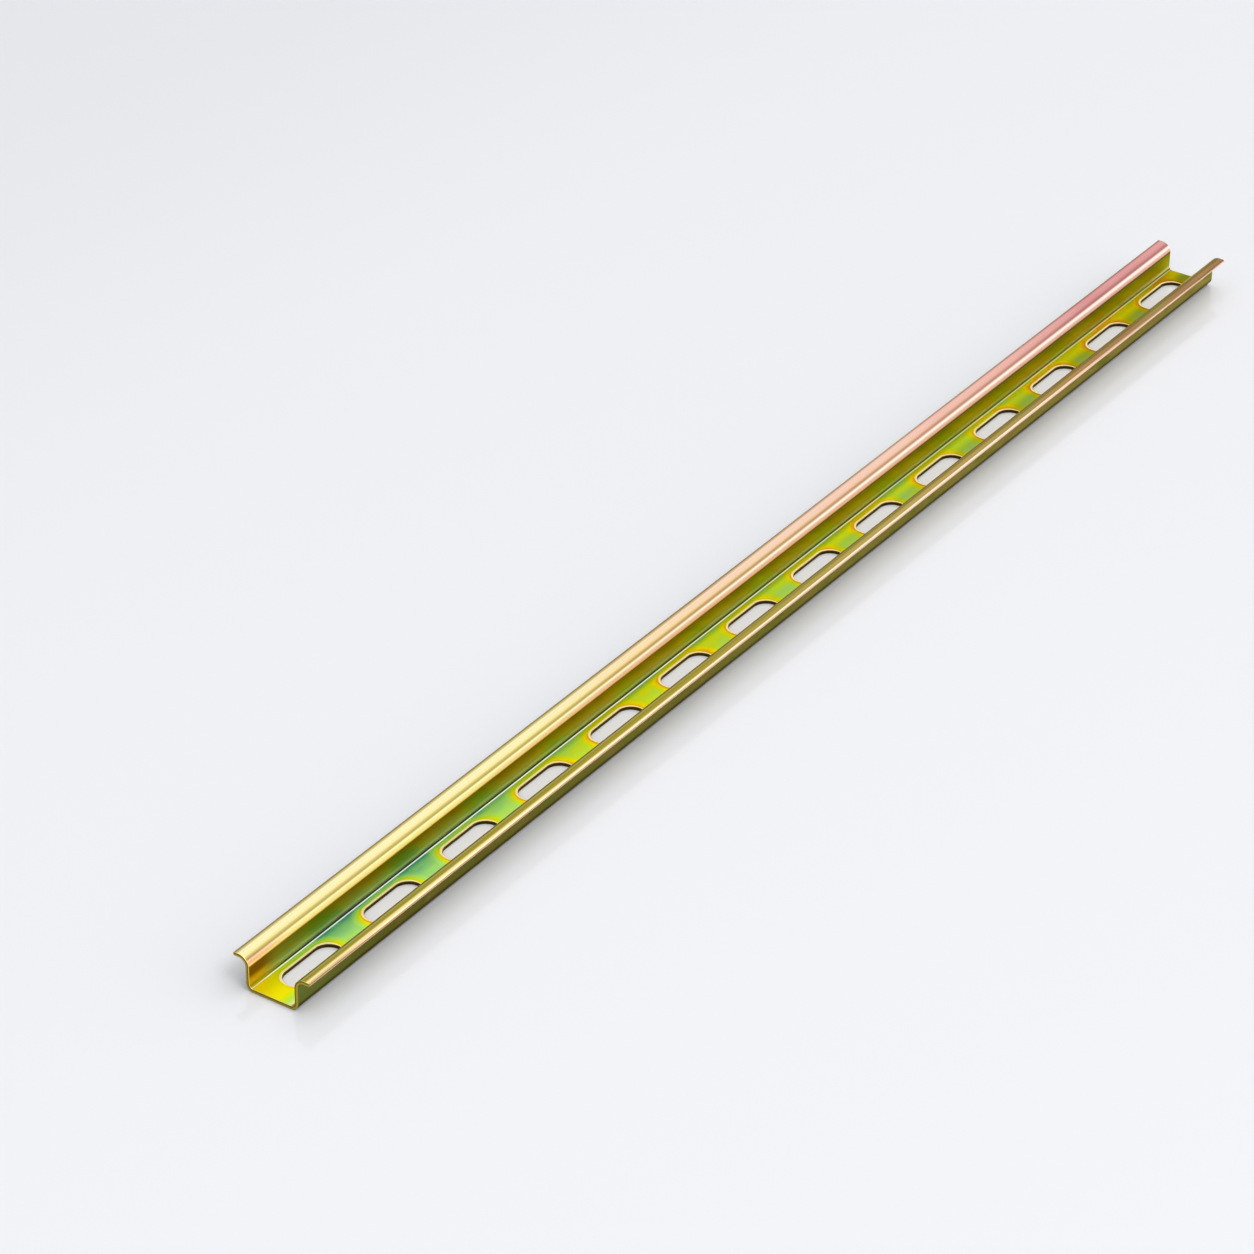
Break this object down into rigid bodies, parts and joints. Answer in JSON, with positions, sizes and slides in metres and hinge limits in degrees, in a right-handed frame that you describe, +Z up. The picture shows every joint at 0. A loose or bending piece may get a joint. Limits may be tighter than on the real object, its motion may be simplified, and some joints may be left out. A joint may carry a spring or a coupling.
{
  "type": "din rail",
  "caption": "Straight slotted top-hat rail of yellow-chromated rolled steel, screwed down through its base, with two flanges that devices clip over.",
  "frame": {"origin": "middle of the base's underside, halfway along the rail", "axes": "+X along the rail, +Y across it, +Z up out of the open channel"},
  "size_m": [0.7, 0.035, 0.015],
  "materials": {
    "chromated_steel": "zinc plated with a yellow, faintly rainbow-coloured chromate, satin"
  },
  "bodies": {
    "root": {"rail": "chromated_steel"}
  },
  "joints": []
}
